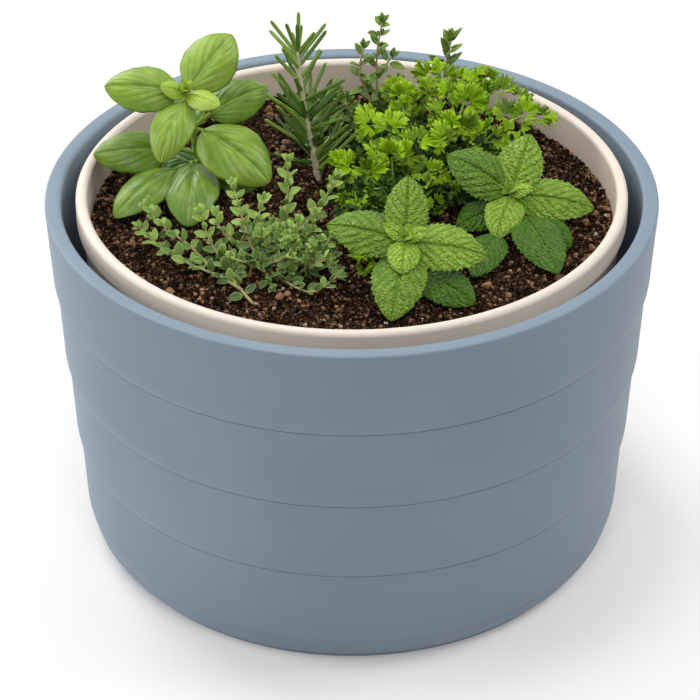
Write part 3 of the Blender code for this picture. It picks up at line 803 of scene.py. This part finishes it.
def makeRosemary():
    shape = rosemaryShape
    dice = random.Random(shape["seed"])
    needles, stems = newBlades(), bmesh.new()
    addStem(stems, shape["trunk"], 2.5, 0.8)
    height, number = shape["from"], 0
    below, above = shape["spacingTimes"]
    while height < shape["to"]:
        share = height / shape["to"]
        around = number * goldenTurn + dice.uniform(-0.4, 0.4)
        rise = radians(shape["rise"] + 20 * share + dice.uniform(-18, 14))
        length = shape["length"] * (1.0 - 0.22 * share ** 2) * dice.uniform(0.8, 1.08)
        if share > 0.93:      # the young ones in the middle of the top
            rise, length = radians(dice.uniform(72, 86)), length * dice.uniform(0.5, 0.8)
        root = pointOn(shape["trunk"], height)
        tip = root + wayTo(around, rise) * length
        tone = min(1.0, dice.uniform(0.0, 0.7) + 0.2 * share)
        addBlade(needles, needleForm, spotAt(*root), spotAt(*tip), shape["width"] * mm, tone,
                 dice.uniform(-3.5, 0.8) * mm, shape["facing"])
        height += shape["spacing"] * dice.uniform(0.7, 1.3) * (below if share < 0.5 else above)
        number += 1
    for number in range(shape["ring"]):
        around = number * tau / shape["ring"] + 0.3
        rise = radians(shape["ringRise"] + 16 * (number % 2))
        root = pointOn(shape["trunk"], shape["ringHeight"] + 0.8 * number)
        tip = root + wayTo(around, rise) * shape["ringLength"]
        addBlade(needles, needleForm, spotAt(*root), spotAt(*tip), shape["width"] * mm, 0.6, -1.5 * mm,
                 shape["facing"])
    finishBlades("rosemaryNeedles", needles, needleMaterial(), 0.6 * mm, ["rosemary"])
    bark = stemMaterial("rosemaryBark", (172, 160, 130), (222, 212, 184))
    makePiece("rosemaryWood", stems, bark)
    print("rosemary made")


# Thyme

thymeForm = {"cells": (6, 4), "outline": (0.72, 0.92)}
fullLightHeight = 28 * mm      # thyme leaves this far above the soil are the palest; lower leaves are painted darker, as painted shade near the soil


def bendThyme(form, u, v, phase):
    half = swell(min(u * 0.97 + 0.015, 0.999), *form["outline"])
    t = abs(v)
    return v * half, (0.30 * t * t - 0.10 * (1 - t)) * half, u, 0.5


thymeForm["bend"] = bendThyme


def thymeMaterial(name, dark, light, rimColour):
    look = LeafLook(name, 0.5)
    leaf = look.fade(dark, light, look.tone, 0.0, 1.0)
    rimmed = look.fade(leaf, rimColour, look.aside, 0.70, 0.95, 0.35)
    ribbed = look.fade(rimmed, rimColour, look.aside, 0.16, 0.04, 0.2)
    colour = look.fade(ribbed, rimColour, look.along, 0.25, 0.0, 0.4)
    return look.finished(colour, look.noise(900.0, 2.0), 0.00015)


def litShare(spot):      # 0 at the soil, 1 from the pale height up: the less painted shade, the higher a leaf is
    return min(1.0, (spot.z - soilLevel(spot.x, spot.y)) / fullLightHeight)


# start is the share of the shoot that is bare, slim narrows its leaves and rise lifts them near the tip
def thymeShoot(leaves, stems, dice, spots, thick, spacing, size, start=0.12, slim=1.0, rise=34):
    route = curved([spotAt(*spot) for spot in spots], 8)
    runs = [(high - low).length for low, high in zip(route, route[1:])]
    total = sum(runs)
    last = len(route) - 1
    sweep(stems, route, [thick * (1.0 - 0.5 * step / last) * mm for step in range(last + 1)], 6)
    distance = max(start * total, 2 * mm)
    turn = dice.uniform(0, pi)
    while distance < total:
        left, index = distance, 0
        while left > runs[index] and index < last - 1:
            left -= runs[index]
            index += 1
        low, high = route[index], route[index + 1]
        ahead = (high - low).normalized()
        root = low.lerp(high, min(left / runs[index], 1.0))
        share = distance / total
        side = besideOf(ahead).normalized()
        spread = Matrix.Rotation(turn, 3, ahead) @ side
        leaf = [(1, 1.0), (-1, 1.0), (1, 0.55), (-1, 0.55)]      # a pair, and often a small pair above it
        for way, small in leaf if dice.random() < 0.7 else leaf[:2]:
            length = size * small * (1 - 0.30 * share ** 3) * dice.uniform(0.8, 1.15) * mm
            lean = radians(14 + rise * share + (30 if small < 1 else 0) + dice.uniform(-14, 14))
            aim = spread * way * cos(lean) + ahead * sin(lean)
            tip = root + (aim + Vector((0, 0, 0.12))).normalized() * length
            if tip.z > soilLevel(tip.x, tip.y) + 1 * mm and hypot(tip.x, tip.y) < soilHigh.x:
                width = slim * length * dice.uniform(0.46, 0.56)
                # a leaf's tone: random, paler towards the shoot's tip, and darker near the soil as painted
                # shade
                tone = min(1.0, dice.uniform(-0.2, 0.35) + 0.50 * litShare(tip) + 0.3 * share ** 2)
                sag = dice.uniform(-0.2, 0.8) * mm
                up = (dice.uniform(-0.4, 0.4), dice.uniform(-0.9, 0.1), 1)
                addBlade(leaves, thymeForm, root + (tip - root) * 0.12, tip, width, tone, sag, up)
        turn += pi / 2 + dice.uniform(-0.25, 0.25)
        distance += spacing * mm * (1 - 0.45 * share)
    end = route[-1]
    for number in range(4):      # the bud
        around = Matrix.Rotation(number * tau / 4 + turn, 3, ahead) @ side
        aim = around * (0.9 - 0.5 * (number % 2)) + ahead
        addBlade(leaves, thymeForm, end - ahead * 0.5 * mm, end + aim.normalized() * 0.5 * size * mm,
                 0.25 * size * mm, 0.25 + 0.6 * litShare(end), 0.2 * mm)


creepingPlant = {
    "shoots": [  # main stems, from the crown outwards and up (across, away, up)
        [(-54, -99, 1), (-64, -84, 5), (-72, -66, 8), (-80, -54, 17), (-84, -48, 29)],
        [(-60, -90, 4), (-74, -76, 5), (-86, -69, 6), (-105, -52, 7), (-119, -38, 13)],
        [(-78, -70, 6), (-90, -52, 9), (-104, -42, 15), (-115, -33, 24)],
        [(-50, -62, 2), (-57, -56, 15), (-61, -50, 27), (-66, -40, 42)],
        [(-50, -62, 3), (-44, -86, 4)], [(-50, -62, 2), (-38, -34, 12), (-36, -26, 24), (-36, -17, 44)],
        [(-50, -62, 3), (-30, -40, 12), (-18, -27, 20), (-8, -20, 36)],
        [(-50, -62, 3), (-34, -82, 3), (-21, -90, 3), (-7, -82, 9)],
        [(-50, -62, 2), (-24, -66, 8), (-10, -52, 17)],
        [(-50, -62, 2), (-53, -40, 16), (-49, -30, 27)], [(-50, -62, 2), (-72, -48, 16), (-76, -40, 24)],
        [(-50, -62, 2), (-36, -54, 14), (-30, -50, 24)], [(-50, -62, 2), (-40, -72, 12), (-34, -76, 17)],
        [(-50, -62, 2), (-60, -70, 10), (-66, -72, 14)], [(-30, -50, 0), (-24, -44, 12), (-20, -42, 24)],
        [(-30, -66, 0), (-22, -72, 8), (-14, -70, 12)]],
    # short shoots that fill the middle
    "small": 54, "middle": (-38, -56), "reach": (2, 32), "wide": 1.15, "deep": 0.85, "height": (7, 22),
    "seed": 23,
}


def makeCreepingThyme():
    plant = creepingPlant
    dice = random.Random(plant["seed"])
    leaves, stems = newBlades(), bmesh.new()
    for spots in plant["shoots"]:
        thymeShoot(leaves, stems, dice, spots, thick=1.0, spacing=7.2, size=9.0)
    for _ in range(plant["small"]):
        reach, turn = dice.uniform(*plant["reach"]), dice.uniform(0, tau)
        x = plant["middle"][0] + plant["wide"] * reach * cos(turn)
        y = plant["middle"][1] + plant["deep"] * reach * sin(turn)
        height = dice.uniform(*plant["height"]) * (1 - reach / 70)
        middle = (x + dice.uniform(-4, 4), y + dice.uniform(-4, 4), 0.5 * height)
        end = (x + dice.uniform(-9, 9), y + dice.uniform(-9, 9), height)
        thymeShoot(leaves, stems, dice, [(x, y, -1), middle, end], thick=0.7, spacing=5.6, size=7.6)
    material = thymeMaterial("creepingLeaf", (44, 76, 30), (156, 188, 88), (174, 198, 118))
    finishBlades("creepingThymeLeaves", leaves, material, 0.35 * mm, ["creeping_thyme"])
    bark = stemMaterial("creepingStem", (160, 132, 98), (160, 164, 100), 90.0)
    makePiece("creepingThymeStems", stems, bark)
    print("creeping thyme made")


backPlant = {
    "shoots": [
        [(12, 102, -4), (12, 102, 3), (15, 101, 25), (15, 100, 50), (18, 100, 72)],
        [(13, 102, 13), (5, 99, 38), (7, 98, 56)], [(15, 101, 34), (24, 102, 48)],
        [(12, 102, 1), (22, 106, 14), (28, 108, 28)], [(12, 102, 4), (1, 98, 12), (-6, 96, 22)]],
    "small": 60, "middle": (4, 94), "across": (-36, 38), "away": (-26, 20), "height": (7, 20),
    "sprig": [(52, 119, -4), (57, 120, 33), (60, 120, 50)], "seed": 31,
}


def makeBackThyme():
    plant = backPlant
    dice = random.Random(plant["seed"])
    material = thymeMaterial("uprightLeaf", (34, 62, 14), (112, 142, 52), (124, 152, 70))
    bark = stemMaterial("uprightStem", (170, 154, 116), (182, 176, 128))
    leaves, stems = newBlades(), bmesh.new()
    for spots in plant["shoots"]:
        thymeShoot(leaves, stems, dice, spots, thick=1.1, spacing=10.5, size=11.5, slim=0.78, rise=8)
    for _ in range(plant["small"]):
        x = plant["middle"][0] + dice.uniform(*plant["across"])
        y = plant["middle"][1] + dice.uniform(*plant["away"])
        end = (x + dice.uniform(-4, 4), y + dice.uniform(-4, 4), dice.uniform(*plant["height"]))
        thymeShoot(leaves, stems, dice, [(x, y, -1), end], thick=0.6, spacing=6.0, size=8.0)
    finishBlades("uprightThymeLeaves", leaves, material, 0.35 * mm, ["upright_thyme"])
    makePiece("uprightThymeStems", stems, bark)
    leaves, stems = newBlades(), bmesh.new()
    thymeShoot(leaves, stems, dice, plant["sprig"], thick=1.0, spacing=6.5, size=15.0, start=0.66, slim=0.66)
    finishBlades("thymeSprigLeaves", leaves, material, 0.35 * mm, ["thyme_sprig"])
    makePiece("thymeSprigStem", stems, bark)
    print("back thyme made")


# Parsley

fanForm = {"cells": (5, 36), "spread": 1.20, "lobes": 3, "teeth": 3, "cut": 0.62, "nick": 0.20}
lowFanForm = {**fanForm, "cells": (3, 24), "teeth": 2}


def bendFan(form, u, v, phase):
    turn = v * form["spread"]
    inLobe = min((v + 1) / 2 * form["lobes"], form["lobes"] - 0.0001) % 1.0
    beside = abs(2 * inLobe - 1)      # 0 on a lobe's rib, 1 in the cut beside it
    tooth = abs(sin(pi * form["teeth"] * inLobe))
    edge = (1 - form["cut"] * beside ** 7) * (1 - form["nick"] * (1 - tooth))
    edge *= 0.80 + 0.20 * cos(1.5 * turn)      # the side lobes are shorter
    edge *= 1 + 0.08 * sin(3 * turn + 2 * phase)
    radius = u * edge
    rise = 0.30 * radius * beside + 0.16 * sin(1.7 * tau * v + phase) * radius * u
    rise += 0.24 * radius ** 2 - 0.9 * max(0.0, radius - 0.6) ** 1.4
    return radius * sin(turn), rise, radius * cos(turn), tooth


fanForm["bend"] = lowFanForm["bend"] = bendFan


def parsleyMaterial():
    look = LeafLook("parsleyLeaf", 0.42, 0.2)
    inLobe = look.across * float(fanForm["lobes"])
    beside = abs(inLobe.math("FRACT", inLobe) - 0.5)
    rib = look.smooth(beside, 0.10, 0.0) * look.smooth(look.along, 1.0, 0.3)
    cloud = look.noise(260.0, 3.0)
    leaf = look.fade((26, 60, 0), (162, 204, 20), look.tone + 0.4 * cloud, 0.1, 1.35)
    paintedLitShare = look.smooth(look.tone, 0.0, 0.5)      # the low leaves, whose low tone is painted shade, have no pale edges or ribs
    edged = look.mix(look.smooth(look.along, 0.75, 1.0) * paintedLitShare * 0.35, leaf, (168, 200, 52))
    colour = look.mix(rib * paintedLitShare * 0.3, edged, (150, 186, 60))
    return look.finished(colour, cloud + rib, 0.0004, roughness=0.38 + 0.15 * cloud)


parsleyPlant = {
    "crown": (46, 25),
    "stalks": [  # where the stalk forks, then each head's middle and radius
        ((62, 66, 22), [(54, 90, 40, 15), (73, 93, 37, 13), (56, 62, 42, 16)]),
        ((77, 52, 17), [(88, 79, 36, 14), (100, 56, 33, 15), (77, 45, 28, 13), (92, 36, 22, 10)]),
        ((32, 51, 18), [(30, 79, 33, 14), (12, 46, 32, 15)]),
        ((50, 33, 17), [(57, 38, 36, 13), (38, 28, 31, 13)]),
        ((24, 13, 11), [(23, 19, 26, 13), (0, 12, 24, 14), (14, -4, 15, 11)]),
        ((49, 12, 9), [(48, 4, 24, 13), (41, -9, 14, 10)]),
        ((21, -30, 9), [(8, -62, 10, 9), (0, -30, 13, 10)]), ((16, -2, 9), [(4, -17, 17, 11)])],
    # a head's leaves: reach, turn, how much lower; a leaf's leaflets: turn, stalk, length
    "sprays": [(0.0, 0.0, 0.0), (0.66, 0.0, 3.0), (0.66, 2.3, 3.5), (0.66, 4.3, 4.5)],
    "leaflets": [(0.0, 0.22, 0.80), (1.45, 0.16, 0.66), (-1.45, 0.16, 0.66)],
    "lower": [(44, 40, 50, 50, 30), (18, -18, 20, 34, 12)],      # middle, reach across and away, how many
    "lowRadius": 11, "seed": 41,
}


def addLeaf(leaves, dice, form, middle, radius, away, tone):
    facing = Vector((dice.uniform(-0.7, 0.7), dice.uniform(-1.2, 0.2), 1)).normalized()
    first = (away - facing * facing.dot(away)).normalized()
    second = facing.cross(first)
    for around, out, size in parsleyPlant["leaflets"]:
        around += dice.uniform(-0.3, 0.3)
        way = first * cos(around) + second * sin(around) + facing * dice.uniform(-0.15, 0.6)
        way.normalize()
        reach = radius * size * dice.uniform(0.85, 1.15)
        root = middle + way * out * radius
        addBlade(leaves, form, spotAt(*root), spotAt(*(root + way * reach)), 2.1 * reach * mm,
                 min(1.0, max(0.0, tone + dice.uniform(-0.3, 0.3))), 0.0,
                 facing * 1.6 - way * dice.uniform(-0.3, 0.7), dice.uniform(0, 6))


def addHead(leaves, dice, form, head, radius, away, tone):
    for reach, turn, lower in parsleyPlant["sprays"]:
        turn += dice.uniform(-0.5, 0.5)
        spread = Vector((cos(turn), sin(turn), 0)) * reach * radius
        sway = Vector((dice.uniform(-0.7, 0.7), dice.uniform(-0.9, 0.5), 0))
        ahead = (away + 0.12 * spread + sway).normalized()
        # sprays that sit lower are given a lower tone: painted shade
        addLeaf(leaves, dice, form, head + spread - Vector((0, 0, lower)), radius * 0.86, ahead,
                tone - 0.05 * lower)


def makeParsley():
    plant = parsleyPlant
    dice = random.Random(plant["seed"])
    leaves, lower, stems = newBlades(), newBlades(), bmesh.new()
    crown = Vector((*plant["crown"], 0))
    for fork, heads in plant["stalks"]:
        fork = Vector(fork)
        middle = crown.lerp(fork, 0.5) + Vector((0, 0, 3))
        addStem(stems, [crown - Vector((0, 0, 3)), middle, fork], 1.4, 1.0, steps=6)
        for across, away, up, radius in heads:
            head = Vector((across, away, up))
            addStem(stems, [fork, fork.lerp(head, 0.5) + Vector((0, 0, 2)), head], 0.9, 0.6, sides=6)
            addHead(leaves, dice, fanForm, head, radius, (head - crown).normalized(), 0.65)
    for across, away, wide, deep, count in plant["lower"]:
        for number in range(count):
            around, reach = number * goldenTurn, sqrt((number + 0.5) / count)
            head = Vector((across + wide * reach * cos(around), away + deep * reach * sin(around),
                           8 + 12 * (1 - reach) + dice.uniform(0, 6)))
            middle = crown.lerp(head, 0.5) + Vector((0, 0, 2))
            addStem(stems, [crown, middle, head], 0.9, 0.5, sides=6, steps=4)
            # the low heads are given tone 0: painted shade under the upper leaves
            addHead(lower, dice, lowFanForm, head, plant["lowRadius"], (head - crown).normalized(), 0.0)
    material = parsleyMaterial()
    finishBlades("parsleyLeaves", leaves, material, 0.3 * mm, ["parsley"])
    finishBlades("parsleyLowLeaves", lower, material, 0.3 * mm)
    stalk = stemMaterial("parsleyStalk", (96, 140, 44), (140, 180, 74))
    makePiece("parsleyStalks", stems, stalk)
    print("parsley made")


# Studio: floor, light and camera

studio = {
    "lens": 145.2, "cameraPlace": (-0.001, -1.400, 1.0317), "pitch": 33.31,
    "world": 0.09, "floorSize": 8.0, "floorGlow": (0.15, 0.72, (0.175, 0.25)), "lampAim": (0, 0, 0.12),
    "lamps": [  # name, place, size, power
        ("leftLamp", (-2.2, -0.1, 0.8), 1.2, 19.5), ("backLeftLamp", (-1.2, 1.4, 1.4), 1.2, 25),
        ("frontLamp", (0.1, -1.7, 2.1), 1.4, 24), ("rightLamp", (1.7, 0.2, 1.7), 1.0, 20),
        ("highLeftLamp", (-1.2, -0.2, 2.1), 1.4, 7), ("topLamp", (-0.1, 0.5, 2.2), 1.4, 15)],
}


def floorMaterial():
    look = Look("paleFloor", baseColor=(248, 245, 244), roughness=0.9, specularIorLevel=0.0)
    glow = look.node("Emission", None, {"Color": (254, 254, 254), "Strength": 1.0})
    away = look.node("VectorMath", {"operation": "LENGTH"}, {0: look.place()}, output="Value")
    near, far, edge = studio["floorGlow"]      # painted light: for seen rays the floor glows little near the pot and fully far from it, so the pot's shadow fades out at a set distance
    share = near + (far - near) * look.smooth(away, *edge) + (1 - far) * look.smooth(away, edge[1], 1.0)
    mixed = look.node("MixShader", None, {0: look.seen() * share, 1: Wire(look, look.surface.outputs[0]),
                                          2: glow})
    end = look.tree.nodes["Material Output"]
    look.tree.links.new(mixed.socket, end.inputs["Surface"])
    return look.material


def makeFloor():
    shape = bmesh.new()
    bmesh.ops.create_grid(shape, x_segments=1, y_segments=1, size=studio["floorSize"] / 2)
    floor = addObject("paleFloor", meshOf("paleFloor", shape))
    floor.data.materials.append(floorMaterial())


def makeWorld():
    world = bpy.data.worlds.new("studio")
    bpy.context.scene.world = world
    world.use_nodes = True
    ground = world.node_tree.nodes["Background"]
    ground.inputs["Color"].default_value = (1, 1, 1, 1)
    sky = Look("studio", world.node_tree)
    strength = studio["world"] + (1 - studio["world"]) * sky.seen()
    world.node_tree.links.new(strength.socket, ground.inputs["Strength"])


def makeLamps():
    for name, place, size, power in studio["lamps"]:
        lamp = bpy.data.lights.new(name, "AREA")
        lamp.size = size
        lamp.energy = power
        holder = addObject(name, lamp)
        holder.location = place
        aim = Vector(studio["lampAim"]) - Vector(place)
        holder.rotation_euler = aim.to_track_quat("-Z", "Y").to_euler()


def makeCamera():
    scene = bpy.context.scene
    lens = bpy.data.cameras.new("camera")
    lens.lens = studio["lens"]
    lens.sensor_width = 36.0
    lens.clip_end = 20.0
    camera = addObject("camera", lens)
    camera.location = studio["cameraPlace"]
    camera.rotation_euler = (radians(90 - studio["pitch"]), 0, 0)
    scene.camera = camera
    scene.view_settings.view_transform = "Standard"


makeFloor()
makeWorld()
makeLamps()
makeCamera()
print("studio made")
makeOuterPot()
makeLiner()
makeSoil()
makeBasil()
makeMint()
makeRosemary()
makeCreepingThyme()
makeBackThyme()
makeParsley()
